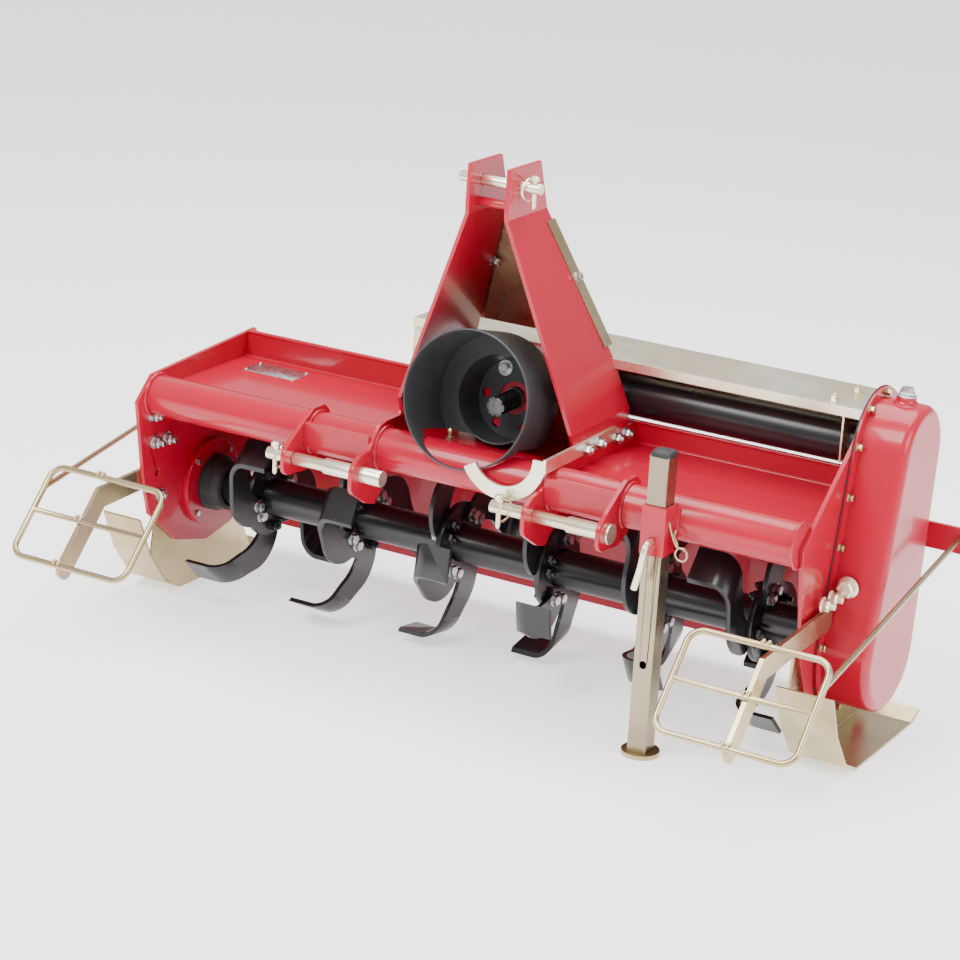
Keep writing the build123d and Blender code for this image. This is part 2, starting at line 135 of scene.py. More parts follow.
def lightSky():
    world = bpy.data.worlds.new("studio")
    bpy.context.scene.world = world
    world.use_nodes = True
    tree = world.node_tree
    back = tree.nodes["Background"]
    back.inputs["Strength"].default_value = sky["strength"]
    coords = tree.nodes.new("ShaderNodeTexCoord")
    split = tree.nodes.new("ShaderNodeSeparateXYZ")
    tree.links.new(coords.outputs["Generated"], split.inputs["Vector"])
    tree.links.new(ramp(tree, split.outputs["Z"], sky["stops"]), back.inputs["Color"])


def layFloor():
    bm = bmesh.new()
    bmesh.ops.create_grid(bm, x_segments=1, y_segments=1, size=floorLook["half"])
    mesh = bpy.data.meshes.new("paleFloor")
    bm.to_mesh(mesh)
    bm.free()
    floor = bpy.data.objects.new("paleFloor", mesh)
    floor.location.z = cadBox[0].z
    mat = bpy.data.materials.new("paleFloor")
    mat.use_nodes = True
    shader = mat.node_tree.nodes["Principled BSDF"]
    shader.inputs["Base Color"].default_value = (*floorLook["colour"], 1)
    shader.inputs["Roughness"].default_value = floorLook["rough"]
    shader.inputs["Emission Color"].default_value = (1, 1, 1, 1)
    shader.inputs["Emission Strength"].default_value = floorLook["glow"]
    mesh.materials.append(mat)
    bpy.context.scene.collection.objects.link(floor)


aimCamera()
hangLamps()
lightSky()
layFloor()
print("stage: camera, lights and floor")


# node tools: a noise is scale, detail and roughness, a bump is noise scale, detail, strength and depth,
# and a spread is the part of a noise that its ramp covers
def newFinish(name):
    mat = bpy.data.materials.new(name)
    mat.use_nodes = True
    tree = mat.node_tree
    coords = tree.nodes.new("ShaderNodeTexCoord")
    return mat, tree, tree.nodes["Principled BSDF"], coords.outputs["Object"]


def noise(tree, where, scale, detail, rough=0.55):
    node = tree.nodes.new("ShaderNodeTexNoise")
    node.inputs["Scale"].default_value = scale
    node.inputs["Detail"].default_value = detail
    node.inputs["Roughness"].default_value = rough
    tree.links.new(where, node.inputs["Vector"])
    return node.outputs["Fac"]


def grey(tree, fac, low, high, start, end):
    return ramp(tree, fac, [(start, (low,) * 3), (end, (high,) * 3)])


def bump(tree, shader, where, scale, detail, strength, depth):
    node = tree.nodes.new("ShaderNodeBump")
    node.inputs["Strength"].default_value = strength
    node.inputs["Distance"].default_value = depth
    tree.links.new(noise(tree, where, scale, detail), node.inputs["Height"])
    tree.links.new(node.outputs["Normal"], shader.inputs["Normal"])


redPaint = {"name": "glossRedPaint", "colour": (0.42, 0.002, 0.022), "rough": 0.27, "specular": 0.32,
            "coat": 0.32, "coatRough": 0.06, "peel": (140, 1, 0.5, 0.00004)}
blackPaint = {"name": "satinBlackPaint", "colour": (0.009, 0.009, 0.011), "mottle": (20, 2),
              "rough": (0.25, 0.33), "spread": (0.1, 0.9), "specular": 0.5,
              "peel": (220, 2, 0.4, 0.00005)}


def glossRed(p):
    mat, tree, shader, where = newFinish(p["name"])
    shader.inputs["Base Color"].default_value = (*p["colour"], 1)
    shader.inputs["Roughness"].default_value = p["rough"]
    shader.inputs["Specular IOR Level"].default_value = p["specular"]
    shader.inputs["Coat Weight"].default_value = p["coat"]
    shader.inputs["Coat Roughness"].default_value = p["coatRough"]
    bump(tree, shader, where, *p["peel"])
    return mat


def satinBlack(p):
    mat, tree, shader, where = newFinish(p["name"])
    shader.inputs["Base Color"].default_value = (*p["colour"], 1)
    mottle = grey(tree, noise(tree, where, *p["mottle"]), *p["rough"], *p["spread"])
    tree.links.new(mottle, shader.inputs["Roughness"])
    shader.inputs["Specular IOR Level"].default_value = p["specular"]
    bump(tree, shader, where, *p["peel"])
    return mat


# passivated zinc drifts between four tints
zincCloud = {"drift": (5, 2, 0.45), "stops": (0.26, 0.42, 0.58, 0.76), "wear": (14, 2),
             "spread": (0.15, 0.85), "metal": 0.92}
paleZinc = {"name": "paleZincPlate", "rose": (0.82, 0.68, 0.56), "straw": (0.78, 0.69, 0.46),
            "pale": (0.92, 0.87, 0.70), "green": (0.74, 0.74, 0.53), "rough": (0.22, 0.36)}
goldZinc = {"name": "goldZincPlate", "rose": (0.43, 0.30, 0.21), "straw": (0.42, 0.33, 0.17),
            "pale": (0.52, 0.435, 0.26), "green": (0.35, 0.345, 0.18), "rough": (0.20, 0.36)}
# a darker copy of the gold zinc, worn only by the stand leg: painted shade
shadedGoldZinc = {"name": "shadedGoldZincPlate", "rose": (0.32, 0.215, 0.175), "straw": (0.29, 0.23, 0.155),
            "pale": (0.35, 0.29, 0.20), "green": (0.27, 0.265, 0.16), "rough": (0.20, 0.36)}


def yellowZinc(z):
    mat, tree, shader, where = newFinish(z["name"])
    tints = zip(zincCloud["stops"], (z["rose"], z["straw"], z["pale"], z["green"]))
    colour = ramp(tree, noise(tree, where, *zincCloud["drift"]), list(tints))
    tree.links.new(colour, shader.inputs["Base Color"])
    shader.inputs["Metallic"].default_value = zincCloud["metal"]
    wear = grey(tree, noise(tree, where, *zincCloud["wear"]), *z["rough"], *zincCloud["spread"])
    tree.links.new(wear, shader.inputs["Roughness"])
    return mat


# finishes that cloud between a dark and a light tone
cloudSpread = (0.3, 0.7)
guardPlastic = {"name": "mouldedGreyPlastic", "cloud": (12, 3), "dark": (0.024, 0.026, 0.029),
                "light": (0.036, 0.038, 0.041), "metal": 0.0, "wear": (80, 3), "rough": (0.36, 0.50),
                "grain": (900, 2, 0.12, 0.0004)}
fastenerZinc = {"name": "brightZincFasteners", "cloud": (70, 4), "dark": (0.46, 0.47, 0.48),
                "light": (0.66, 0.66, 0.66), "metal": 1.0, "wear": (160, 3), "rough": (0.24, 0.38)}
shaftSteel = {"name": "groundShaftSteel", "cloud": (55, 4), "dark": (0.07, 0.07, 0.073),
              "light": (0.16, 0.16, 0.165), "metal": 0.9, "wear": (120, 3), "rough": (0.28, 0.45),
              "grain": (500, 2, 0.10, 0.0003)}
sealRubber = {"name": "softBlackRubber", "cloud": (40, 4), "dark": (0.010, 0.010, 0.010),
              "light": (0.022, 0.022, 0.022), "metal": 0.0, "wear": (90, 3), "rough": (0.5, 0.68),
              "grain": (600, 3, 0.15, 0.0004)}


def clouded(c):
    mat, tree, shader, where = newFinish(c["name"])
    tones = zip(cloudSpread, (c["dark"], c["light"]))
    colour = ramp(tree, noise(tree, where, *c["cloud"]), list(tones))
    tree.links.new(colour, shader.inputs["Base Color"])
    shader.inputs["Metallic"].default_value = c["metal"]
    wear = grey(tree, noise(tree, where, *c["wear"]), *c["rough"], *cloudSpread)
    tree.links.new(wear, shader.inputs["Roughness"])
    if "grain" in c:
        bump(tree, shader, where, *c["grain"])
    return mat


finish = {"red": glossRed(redPaint), "black": satinBlack(blackPaint),
          "zinc": yellowZinc(paleZinc), "gold": yellowZinc(goldZinc), "shadedGold": yellowZinc(shadedGoldZinc),
          "plastic": clouded(guardPlastic), "rubber": clouded(sealRubber),
          "bright": clouded(fastenerZinc), "steel": clouded(shaftSteel)}

# solids that aren't red
dressed = {
    "zinc": ["lower_pin_left", "lower_pin_right", "top_link_pin", "drive_cover", "pto_rest"],
    "gold": ["mast_back_sheet", "skid_left", "skid_right", "guard_left", "guard_right", "guard_arm_left",
             "guard_arm_right", "stand_foot"],
    # the stand leg wears the darker copy of the gold zinc, which is painted shade
    "shadedGold": ["stand_leg"],
    "black": ["rotor_tube", "drive_tube", "tines_1", "tines_2", "tines_3", "tines_4", "tines_5", "tines_6"],
    "plastic": ["pto_guard"],
    "steel": ["pto_shaft"],
    "bright": ["filler_plug", "hinge_rod"],
}
edgeRound = {"width": 1.2 * mm, "segments": 2, "angle": 40, "merge": 0.02 * mm}


def dressNodes():
    lookOf = {name: look for look, names in dressed.items() for name in names}
    for name, obj in nodes.items():
        obj.data.materials.clear()
        obj.data.materials.append(finish[lookOf.get(name, "red")])
        merge = obj.modifiers.new("weld", "WELD")
        merge.merge_threshold = edgeRound["merge"]
        edge = obj.modifiers.new("edgeRound", "BEVEL")
        edge.width = edgeRound["width"]
        edge.segments = edgeRound["segments"]
        edge.limit_method = "ANGLE"
        edge.angle_limit = radians(edgeRound["angle"])
        edge.harden_normals = False


dressNodes()
print("stage: finishes on the solids")


# mesh tools: places and points are spots, radii and heights are millimetres
def turned(place, axis):
    return Matrix.Translation(place) @ Vector(axis).to_track_quat("Z", "Y").to_matrix().to_4x4()


def band(bm, low, high):
    for k in range(len(low)):
        n = (k + 1) % len(low)
        bm.faces.new((low[k], low[n], high[n], high[k]))


def closeEnds(bm, rings):
    for low, high in zip(rings, rings[1:]):
        band(bm, low, high)
    bm.faces.new(list(reversed(rings[0])))
    bm.faces.new(rings[-1])


def closeLoop(bm, rings):
    for low, high in zip(rings, rings[1:] + rings[:1]):
        band(bm, low, high)


def circle(bm, r, h, sides, place):
    turn = [2 * pi * k / sides for k in range(sides)]
    return [bm.verts.new(place @ Vector((r * mm * cos(t), r * mm * sin(t), h * mm))) for t in turn]


# profile of (radius, height) that starts and ends on the axis
def lathe(bm, profile, sides, place):
    rings = [circle(bm, r, h, sides, place) for r, h in profile[1:-1]]
    for low, high in zip(rings, rings[1:]):
        band(bm, low, high)
    for ring, h in ((rings[0], profile[0][1]), (rings[-1], profile[-1][1])):
        tip = bm.verts.new(place @ Vector((0, 0, h * mm)))
        for k in range(sides):
            bm.faces.new((tip, ring[k], ring[(k + 1) % sides]))


# round bar along points with a radius for each of them; a loop has no ends
def wire(bm, points, radii, sides, loop=False):
    last = len(points) - 1
    turn = [2 * pi * k / sides for k in range(sides)]
    side = None
    rings = []
    for i, p in enumerate(points):
        after = points[(i + 1) % len(points)] if loop else points[min(i + 1, last)]
        before = points[i - 1] if loop else points[max(i - 1, 0)]
        ahead = (after - before).normalized()
        side = ahead.orthogonal() if side is None else side - ahead * side.dot(ahead)
        side.normalize()
        up = ahead.cross(side)
        rings.append([bm.verts.new(p + radii[i] * mm * (cos(t) * side + sin(t) * up)) for t in turn])
    if loop:
        closeLoop(bm, rings)
    else:
        closeEnds(bm, rings)


def rod(bm, points, r, sides, loop=False):
    wire(bm, points, [r] * len(points), sides, loop)


sharpAngle = radians(38)  # steeper edges stay crisp


def addPiece(name, bm, look, body="frame"):
    bmesh.ops.recalc_face_normals(bm, faces=bm.faces)
    mesh = bpy.data.meshes.new(name)
    bm.to_mesh(mesh)
    bm.free()
    mesh.shade_smooth()
    mesh.set_sharp_from_angle(angle=sharpAngle)
    mesh.materials.append(finish[look])
    obj = bpy.data.objects.new(name, mesh)
    bpy.context.scene.collection.objects.link(obj)
    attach(obj, body)


# hex head or nut: widths are shares of the corner radius, rises are shares of the height
hexShape = {"washer": 1.6, "washerWide": 1.22, "washerTop": 1.16, "washerRise": 0.7, "foot": 0.94,
            "footRise": 0.08, "top": 0.86, "topRise": 0.86, "stud": 0.55, "studBevel": 0.25}


def hexHead(bm, place, axis, across, height, washer=True, stud=0.0):
    there = turned(place, axis)
    h = hexShape
    r = across / 2 / cos(pi / 6)
    base = h["washer"] if washer else 0
    if washer:
        rim = r * h["washerWide"]
        disc = [(0, 0), (rim, 0), (rim, base * h["washerRise"]), (r * h["washerTop"], base), (0, base)]
        lathe(bm, disc, 24, there)
    top = base + height
    flats = [(0, base), (r * h["foot"], base), (r, base + height * h["footRise"]),
             (r, base + height * h["topRise"]), (r * h["top"], top), (0, top)]
    lathe(bm, flats, 6, there)
    if stud:
        s = r * h["stud"]
        bevel = s * h["studBevel"]
        end = top + stud
        lathe(bm, [(0, top), (s, top), (s, end - bevel), (s - bevel, end), (0, end)], 16, there)


# plate bolts: solid and side they sit on, (y, z) places, across flats, head height, stud and finish
plateBolts = {
    "leftPlate": ("side_plate_left", 1, [(-183, 172), (-175, 119), (-139, 117)], 19, 12, 9, "bright"),
    "leftPivot": ("side_plate_left", 1, [(-156, 12)], 17, 10, 4, "bright"),
    "mastFoot": ("hitch_plate_inner_right", 1, [(40, 247), (76, 247)], 17, 12, 4, "bright"),
    "restFoot": ("pto_rest", 1, [(-84, 257), (-37, 257)], 17, 12, 4, "bright"),
    "mastFootLeft": ("hitch_plate_inner_left", -1, [(-84, 247), (-37, 247), (40, 247), (76, 247)],
                     17, 12, 4, "bright"),
    "armRight": ("guard_arm_right", 1, [(-74, 94), (-106, 92)], 19, 12, 10, "zinc"),
    "armLeft": ("guard_arm_left", -1, [(-74, 94), (-106, 92)], 19, 12, 0, "zinc"),
}
levelPlug = {"place": (684, -44, 108), "across": 27, "height": 16}
coverBolts = {"places": [(572, 92), (583, 168)], "across": 13, "height": 8, "stud": 5}


def boltPlates():
    for group, (node, side, places, across, height, stud, look) in plateBolts.items():
        low, high = boxHere(node)
        x = high.x if side > 0 else low.x
        bm = bmesh.new()
        for y, z in places:
            hexHead(bm, spot(x, y, z), (side, 0, 0), across, height, stud=stud)
        addPiece("bolts_" + group, bm, look)
    bm = bmesh.new()
    hexHead(bm, spot(*levelPlug["place"]), (0, -1, 0), levelPlug["across"], levelPlug["height"])
    addPiece("bolts_levelPlug", bm, "zinc")
    c = coverBolts
    top = boxHere("drive_cover")[1].z
    bm = bmesh.new()
    for x, y in c["places"]:
        hexHead(bm, spot(x, y, top), (0, 0, 1), c["across"], c["height"], stud=c["stud"])
    addPiece("bolts_coverTop", bm, "zinc")


boltPlates()
print("stage: plate bolts")

# tine bolts: two through each blade's root, heads on the blade and nuts behind the flange
tineRoot = {"sets": 6, "start": 195.0, "phase": 18.5, "sides": (-1, 1, -1, 1),
            "places": ((-12, 53), (12, 58)), "flange": 10.2, "blade": 8.0, "across": 17, "head": 9,
            "nut": 12, "stud": 6}


def tineSpot(angle, x, y, z):
    a = radians(angle)
    return spot(x, y * cos(a) - z * sin(a), y * sin(a) + z * cos(a))


def boltTines():
    t = tineRoot
    half = t["flange"] / 2
    heads = bmesh.new()
    nuts = bmesh.new()
    for i in range(t["sets"]):
        flangeX = round(centreHere(f"tines_{i + 1}").x, 2)
        for k, side in enumerate(t["sides"]):
            angle = t["start"] + 90 * k + t["phase"] * i
            for y, z in t["places"]:
                front = tineSpot(angle, flangeX + side * (half + t["blade"]), y, z)
                back = tineSpot(angle, flangeX - side * half, y, z)
                hexHead(heads, front, (side, 0, 0), t["across"], t["head"])
                hexHead(nuts, back, (-side, 0, 0), t["across"], t["nut"], stud=t["stud"])
    addPiece("tineBoltHeads", heads, "bright", "rotor")
    addPiece("tineNuts", nuts, "black", "rotor")


boltTines()
print("stage: tine bolts")

# left bearing: small bolts in its flange and the black lip seal round the rotor's end
bearing = {"flange": 12, "boltCircle": 72, "boltCount": 4, "across": 10, "head": 5}
seal = {"outside": [(51.2, 0), (53.5, 3), (53.5, 9), (51.4, 10.5), (51.4, 13), (53, 14.5), (53, 21),
                    (47, 25), (45, 38), (47, 40), (47, 44), (41, 46)],
        "inside": [(38.5, 46), (38.5, 20)]}


def sealBearing():
    face = boxHere("side_plate_left")[1].x + bearing["flange"]
    r = bearing["boltCircle"]
    bm = bmesh.new()
    for k in range(bearing["boltCount"]):
        a = 2 * pi * (k + 0.5) / bearing["boltCount"]
        place = spot(face, r * cos(a), r * sin(a))
        hexHead(bm, place, (1, 0, 0), bearing["across"], bearing["head"], washer=False)
    addPiece("bearingBolts", bm, "bright")
    bm = bmesh.new()
    there = turned(spot(face, 0, 0), (1, 0, 0))
    closeLoop(bm, [circle(bm, r, h, 64, there) for r, h in seal["outside"] + seal["inside"]])
    addPiece("bearingSeal", bm, "rubber")


sealBearing()
print("stage: bearing")

# chain case: its outline is two circles (y, z, radius) and their tangents, with bolts and a gasket round it
case = {"top": (92, 318, 84), "low": (40, -22, 105), "flange": 18, "face": 658, "seam": 652,
        "bolt": 9, "across": 11, "head": 7,
        "gasket": [(1.5, -0.4), (1.5, 1.8), (-0.6, 1.8), (-0.6, -0.4)]}  # out from the flange, along x
filler = {"neck": [(0, -8), (25, -8), (24, -2), (19, 2), (17, 6), (17, 11), (16, 12), (0, 12)],
          "rise": 12, "across": 24, "head": 7}


# points round the case, grown outwards: down one side, round the foot, up the other side, over the top
def caseLoop(grow, count):
    (y1, z1, r1), (y2, z2, r2) = case["top"], case["low"]
    top, low = Vector((y1, z1)), Vector((y2, z2))
    run = low - top
    along = run / run.length
    across = Vector((-along.y, along.x))
    lean = (r1 - r2) / run.length
    rise = (1 - lean * lean) ** 0.5
    normals = [along * lean + across * s * rise for s in (1, -1)]
    start = [top + n * (r1 + grow) for n in normals]
    end = [low + n * (r2 + grow) for n in normals]
    sweep = normals[0].angle_signed(normals[1]) % (2 * pi)
    shares = [k / count for k in range(count)]
    points = [start[0].lerp(end[0], s) for s in shares]
    points += [low + (Matrix.Rotation(-sweep * s, 2) @ normals[0]) * (r2 + grow) for s in shares]
    points += [end[1].lerp(start[1], s) for s in shares]
    points += [top + (Matrix.Rotation((sweep - 2 * pi) * s, 2) @ normals[1]) * (r1 + grow) for s in shares]
    return points


def trimCase():
    bm = bmesh.new()
    for p in caseLoop(case["bolt"], 4):
        hexHead(bm, spot(case["face"], p.x, p.y), (1, 0, 0), case["across"], case["head"])
    addPiece("caseFlangeBolts", bm, "gold")
    bm = bmesh.new()
    loops = []
    for out, along in case["gasket"]:
        rim = caseLoop(case["flange"] + out, 24)
        loops.append([bm.verts.new(spot(case["seam"] + along, p.x, p.y)) for p in rim])
    closeLoop(bm, loops)
    addPiece("caseGasket", bm, "rubber")
    plug = centreHere("filler_plug")
    foot = boxHere("filler_plug")[0].z
    bm = bmesh.new()
    lathe(bm, filler["neck"], 40, turned(spot(plug.x, plug.y, foot), (0, 0, 1)))
    addPiece("fillerNeck", bm, "red")
    bm = bmesh.new()
    hexHead(bm, spot(plug.x, plug.y, foot + filler["rise"]), (0, 0, 1), filler["across"], filler["head"])
    addPiece("fillerHex", bm, "bright")


trimCase()
print("stage: chain case")

# linch pins: a short stud across the hitch pin with a sprung ring that snaps over it;
# point, collar and crown are shares of the stud's radius
linch = {"lowerR": 11, "topR": 9.5, "fromEnd": 14, "stud": 4.5, "reach": 26, "head": 9, "point": 0.6,
         "collar": 1.9, "crown": 1.3, "neck": 6, "under": 5, "dome": 3,
         "ring": 2.0, "room": 10, "drop": 3, "stand": 6, "belly": 7}


def linchPin(name, x, centre, pinR, side):
    p = linch
    there = turned(spot(x, centre.y, centre.z), (0, 0, 1))
    s, top, foot = p["stud"], pinR + p["head"], -(pinR + p["reach"])
    collar, crown, tip = s * p["collar"], s * p["crown"], top + p["dome"]
    stud = [(0, foot), (s * p["point"], foot), (s, foot + s), (s, top - p["neck"]),
            (collar, top - p["under"]), (collar, top), (crown, tip), (0, tip)]
    bm = bmesh.new()
    lathe(bm, stud, 20, there)
    r = pinR + p["room"]
    for way in (-1, 1):
        ring = []
        for k in range(25):
            a = pi * k / 24
            out = side * (p["stand"] + p["belly"] * sin(a))
            ring.append(there @ (Vector((out, way * r * sin(a), r * cos(a) - p["drop"])) * mm))
        rod(bm, ring, p["ring"], 8)
    addPiece(name, bm, "zinc")


def clipPins():
    lower, upper = centreHere("lower_pin_left"), centreHere("top_link_pin")  # the lower pins are level
    inset = linch["fromEnd"]
    linchPin("linchPin_left", boxHere("lower_pin_left")[0].x + inset, lower, linch["lowerR"], -1)
    linchPin("linchPin_right", boxHere("lower_pin_right")[0].x + inset, lower, linch["lowerR"], -1)
    linchPin("linchPin_top", boxHere("top_link_pin")[1].x - inset, upper, linch["topR"], 1)


clipPins()
print("stage: pins")

# parking stand: plastic cap, bent lock pin through the sleeve and its spring clip
standCap = {"corner": 5, "levels": [(0.6, -3), (0.6, 2), (-1.5, 5.5), (-8, 7.5), (-14, 8)]}  # outwards, up
lockPin = {"z": 186, "r": 6.0, "past": 3, "out": 26, "bend": 14, "handle": [(-4, 0, -40), (-12, -2, -78)]}
springClip = {"r": 2.2, "leg": [(0, -6, 34), (3, -5, 20), (9, -3, 4), (14, 0, -8)],
              "eye": (22, 2, -20), "eyeR": 11, "eyeFrom": 110, "eyeSweep": 340,
              "tail": [(12, 3, -2), (5, 3, 10), (9, 3, 20)]}


def roundedRing(bm, x, y, z, halfX, halfY, corner, steps):
    ring = []
    for wayX, wayY, start in ((1, 1, 0), (-1, 1, 90), (-1, -1, 180), (1, -1, 270)):
        for k in range(steps + 1):
            a = radians(start + 90 * k / steps)
            ring.append(bm.verts.new(spot(x + wayX * (halfX - corner) + corner * cos(a),
                                          y + wayY * (halfY - corner) + corner * sin(a), z)))
    return ring


def dressStand():
    low, high = boxHere("stand_leg")
    x, y, half = (low.x + high.x) / 2, (low.y + high.y) / 2, (high.x - low.x) / 2
    bm = bmesh.new()
    rings = []
    for out, h in standCap["levels"]:
        r = half + out
        rings.append(roundedRing(bm, x, y, high.z + h, r, r, min(standCap["corner"], r - 1), 4))
    closeEnds(bm, rings)
    addPiece("standCap", bm, "rubber", "stand")
    low, high = boxHere("stand_sleeve")
    z, bend, front = lockPin["z"], lockPin["bend"], low.y - lockPin["out"]
    path = [spot(x, high.y + lockPin["past"], z), spot(x, low.y, z)]
    for k in range(9):
        a = radians(90 * k / 8)
        path.append(spot(x, front + bend - bend * sin(a), z - bend + bend * cos(a)))
    path += [spot(x + px, front + py, z + pz) for px, py, pz in lockPin["handle"]]
    bm = bmesh.new()
    rod(bm, path, lockPin["r"], 16)
    addPiece("standLockPin", bm, "zinc")
    (eyeX, eyeY, eyeZ), r = springClip["eye"], springClip["eyeR"]
    turn = [radians(springClip["eyeFrom"] - springClip["eyeSweep"] * k / 16) for k in range(17)]
    eye = [(eyeX + r * cos(t), eyeY, eyeZ + r * sin(t)) for t in turn]
    clip = springClip["leg"] + eye + springClip["tail"]
    bm = bmesh.new()
    rod(bm, [spot(high.x + px, y + py, z + pz) for px, py, pz in clip], springClip["r"], 10)
    addPiece("standSpringClip", bm, "gold")


dressStand()
print("stage: parking stand")

# shaft guard: moulded rims (radius, depth), one screw in the back disc and the shaft's centred end
guard = {"tilt": 12.0, "discY": -14.0, "rims": [(122.0, 182.0), (81.0, 62.0)], "inset": 1.4, "bead": 1.7}
guardScrew = {"circle": 56.0, "angle": 118, "out": 3, "across": 16, "head": 7,
              "disc": [(0, 0), (14, 0), (14, 1.4), (0, 1.4)]}
shaftEnd = [(0, -3), (2.4, -3), (4.2, 0.5), (13.2, 0.5), (14.2, -0.6), (14.2, -4), (0, -4)]


def dressGuard():
    shaftZ = centreHere("pto_shaft").z
    tilt = Matrix.Rotation(radians(-guard["tilt"]), 4, "X")
    there = Matrix.Translation(spot(mastX, guard["discY"], shaftZ)) @ tilt
    turn = [2 * pi * k / 96 for k in range(96)]
    bm = bmesh.new()
    for mouth, depth in guard["rims"]:
        r = mouth - guard["inset"]
        ring = [there @ (Vector((r * cos(t), -depth, r * sin(t))) * mm) for t in turn]
        rod(bm, ring, guard["bead"], 8, loop=True)
    addPiece("guardRims", bm, "plastic")
    a = radians(guardScrew["angle"])
    r = guardScrew["circle"]
    place = there @ (Vector((r * cos(a), -guardScrew["out"], r * sin(a))) * mm)
    axis = there.to_3x3() @ Vector((0, -1, 0))
    bm = bmesh.new()
    hexHead(bm, place, axis, guardScrew["across"], guardScrew["head"])
    lathe(bm, guardScrew["disc"], 32, turned(place, axis))
    addPiece("guardScrew", bm, "bright")
    bm = bmesh.new()
    lathe(bm, shaftEnd, 48, turned(spot(mastX, boxHere("pto_shaft")[0].y, shaftZ), (0, -1, 0)))
    addPiece("shaftEnd", bm, "steel", "pto")


dressGuard()
print("stage: shaft guard")

# plug on the deck that shows through the guard's open lower side: red boss, zinc hex and nipple
deckPlug = {"place": (-42, -136, 221.5), "across": 14, "head": 6,
            "boss": [(0, 0), (15, 0), (14, 4), (12.5, 8), (12.5, 16), (11.5, 17), (0, 17)],
            "nipple": [(0, 0), (4, 0), (4, 7), (5.5, 8), (5.5, 12), (3, 15), (0, 15)]}


def fitDeckPlug():
    x, y, z = deckPlug["place"]
    bossTop = z + deckPlug["boss"][-1][1]
    bm = bmesh.new()
    lathe(bm, deckPlug["boss"], 32, turned(spot(x, y, z), (0, 0, 1)))
    addPiece("deckPlugBoss", bm, "red")
    bm = bmesh.new()
    hexHead(bm, spot(x, y, bossTop), (0, 0, 1), deckPlug["across"], deckPlug["head"], washer=False)
    lathe(bm, deckPlug["nipple"], 20, turned(spot(x, y, bossTop + deckPlug["head"]), (0, 0, 1)))
    addPiece("deckPlugNipple", bm, "gold")


fitDeckPlug()
print("stage: deck plug")

# mast: bolts that hold the back sheet's lips to the plates, which lean in from the flare to the bend
lipBolts = {"heights": (0.55,), "across": 13, "head": 8, "nut": 9, "stud": 6, "inset": 12, "outside": 3,
            "inside": 8.4, "lean": 0.37}
mastLine = {"flareZ": 290, "bendZ": 648, "pinOut": 36, "sheet": 3, "lip": 24}


def boltMast():
    low, high = boxHere("mast_back_sheet")
    sheetFoot, sheetTop = high.y - mastLine["sheet"], low.y + mastLine["lip"]
    flareX = boxHere("hitch_plate_inner_right")[1].x - mastX
    bendX = boxHere("top_link_pin")[1].x - mastX - mastLine["pinOut"]
    bm = bmesh.new()
    for part in lipBolts["heights"]:
        z = low.z + part * (high.z - low.z)
        y = sheetFoot + part * (sheetTop - sheetFoot) - lipBolts["inset"]
        rise = (z - mastLine["flareZ"]) / (mastLine["bendZ"] - mastLine["flareZ"])
        x = flareX + (bendX - flareX) * rise
        for side in (-1, 1):
            out = Vector((side, 0, lipBolts["lean"])).normalized()
            head = spot(mastX + side * (x + lipBolts["outside"]), y, z)
            nut = spot(mastX + side * (x - lipBolts["inside"]), y, z)
            hexHead(bm, head, out, lipBolts["across"], lipBolts["head"])
            hexHead(bm, nut, -out, lipBolts["across"], lipBolts["nut"], stud=lipBolts["stud"])
    addPiece("mastLipBolts", bm, "bright")


boltMast()
print("stage: mast bolts")

# bare plate on the deck, riveted at its corners
barePlate = {"x": (-594, -478), "y": (27, 87), "z": 222.0, "thick": 1.2, "corner": 6, "chamfer": 0.5,
             "edge": 0.7, "rivet": 3.2, "dome": [(0, 0), (1, 0), (0.9, 0.35), (0.55, 0.6), (0, 0.7)]}


def layBarePlate():
    b = barePlate
    (x0, x1), (y0, y1), c = b["x"], b["y"], b["corner"]
    x, y, halfX, halfY = (x0 + x1) / 2, (y0 + y1) / 2, (x1 - x0) / 2, (y1 - y0) / 2
    bm = bmesh.new()
    rings = []
    for h, inset in ((0, 0), (b["thick"] * b["edge"], 0), (b["thick"], b["chamfer"])):
        rings.append(roundedRing(bm, x, y, b["z"] + h, halfX - inset, halfY - inset, c - inset, 6))
    closeEnds(bm, rings)
    dome = [(b["rivet"] * r, b["rivet"] * h) for r, h in b["dome"]]
    for wayX in (-1, 1):
        for wayY in (-1, 1):
            corner = spot(x + wayX * (halfX - c), y + wayY * (halfY - c), b["z"] + b["thick"])
            lathe(bm, dome, 16, turned(corner, (0, 0, 1)))
    addPiece("barePlate", bm, "bright")


layBarePlate()
print("stage: bare plate")

# rear walls: the seam on the deck (y, z, radius) and the folded top edges
wallTrim = {"seam": (117, 219, 5.5), "edge": 4.2}


def trimWalls():
    seamY, seamZ, seamR = wallTrim["seam"]
    bm = bmesh.new()
    for name in ("rear_wall_left", "rear_wall_right"):
        low, high = boxHere(name)
        y = (low.y + high.y) / 2
        rod(bm, [spot(low.x, seamY, seamZ), spot(high.x, seamY, seamZ)], seamR, 12)
        rod(bm, [spot(low.x, y, high.z), spot(high.x, y, high.z)], wallTrim["edge"], 12)
    addPiece("wallSeams", bm, "red")


trimWalls()
print("stage: wall seams")

# inner end of the cover over the drive tube, notched round the tube
coverEnd = {"x": (597, 600), "front": 3, "back": 4, "top": 4, "drop": 96, "foot": 20, "notch": 34}


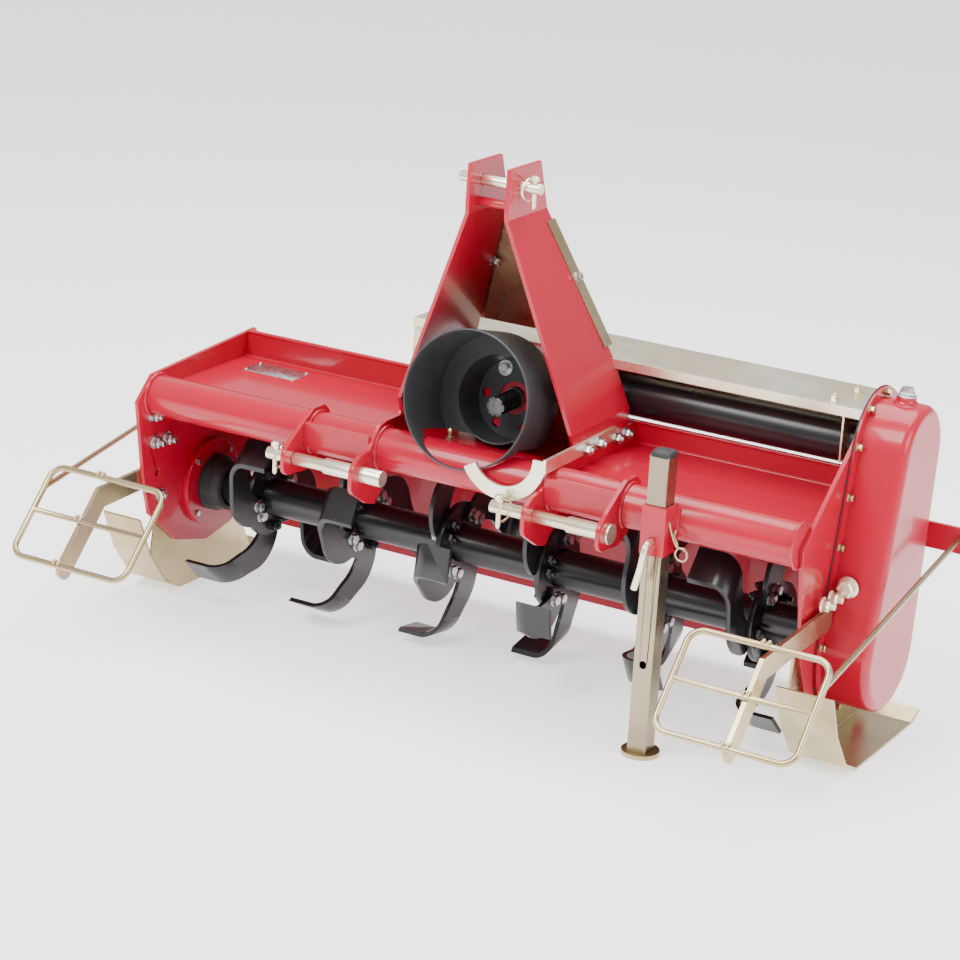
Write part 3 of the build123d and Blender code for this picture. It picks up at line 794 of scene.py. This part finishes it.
def endCover():
    low, high = boxHere("drive_cover")
    front, back, top = low.y + coverEnd["front"], high.y - coverEnd["back"], high.z - coverEnd["top"]
    bottom = top - coverEnd["drop"]
    foot, notch = coverEnd["foot"], coverEnd["notch"]
    outline = [(front, top), (front, bottom), (front + foot, bottom), (front + notch, bottom + notch),
               (back - notch, bottom + notch), (back - foot, bottom), (back, bottom), (back, top)]
    bm = bmesh.new()
    closeEnds(bm, [[bm.verts.new(spot(x, y, z)) for y, z in outline] for x in coverEnd["x"]])
    addPiece("coverEndPlate", bm, "zinc")


endCover()
print("stage: cover end")

# weld beads: round the beam at each plate, down the stand's sleeve and where the guard rods cross their arms
weld = {"r": 3.0, "ripple": 0.7, "dip": 0.4, "pitch": 4.5, "proud": 1}
beamArcs = {"end": (20, 380), "plate": (60, 235)}  # degrees round the beam
sleeveBead = {"out": 0.5, "back": 1, "from": 2, "to": 66}
guardBeads = {"crossings": ((-320, 84), (-383, 17), (-446, -50)), "r": 3.6, "half": 5, "rise": (6, 7)}


def weldBead(bm, points, r, loop=False):
    fine = []
    for a, b in zip(points, points[1:]):
        steps = max(1, int((b - a).length / (weld["pitch"] * mm / 2)))
        fine += [a.lerp(b, k / steps) for k in range(steps)]
    if not loop:
        fine.append(points[-1])
    ripple = [weld["ripple"] * (1 if i % 2 else -weld["dip"]) for i in range(len(fine))]
    wire(bm, fine, [r + up for up in ripple], 8, loop)


def weldBeam():
    low, high = boxHere("front_beam")
    y, z, r = (low.y + high.y) / 2, (low.z + high.z) / 2, (high.z - low.z) / 2 + weld["proud"]
    places = [(low.x + weld["proud"], "end"), (high.x - weld["proud"], "end")]
    for name in ("inner_left", "outer_left", "inner_right", "outer_right"):
        plateLow, plateHigh = boxHere("hitch_plate_" + name)
        places += [(plateLow.x - weld["proud"], "plate"), (plateHigh.x + weld["proud"], "plate")]
    bm = bmesh.new()
    for x, arc in places:
        start, stop = beamArcs[arc]
        turn = [radians(start + (stop - start) * k / 40) for k in range(41)]
        path = [spot(x, y + r * cos(t), z + r * sin(t)) for t in turn]
        weldBead(bm, path, weld["r"], loop=arc == "end")
    low, high = boxHere("stand_sleeve")
    back = high.y + sleeveBead["back"]
    for x in (low.x - sleeveBead["out"], high.x + sleeveBead["out"]):
        path = [spot(x, back, high.z - sleeveBead["from"]), spot(x, back, high.z - sleeveBead["to"])]
        weldBead(bm, path, weld["r"])
    addPiece("beamWelds", bm, "red")


def weldGuards():
    half, (rise, riseBack) = guardBeads["half"], guardBeads["rise"]
    bm = bmesh.new()
    for name in ("guard_arm_left", "guard_arm_right"):
        low, high = boxHere(name)
        for y, z in guardBeads["crossings"]:
            for x in (low.x - weld["proud"], high.x + weld["proud"]):
                weldBead(bm, [spot(x, y - half, z + rise), spot(x, y + half, z + riseBack)], guardBeads["r"])
    addPiece("guardWelds", bm, "gold")


weldBeam()
weldGuards()
print("stage: welds")
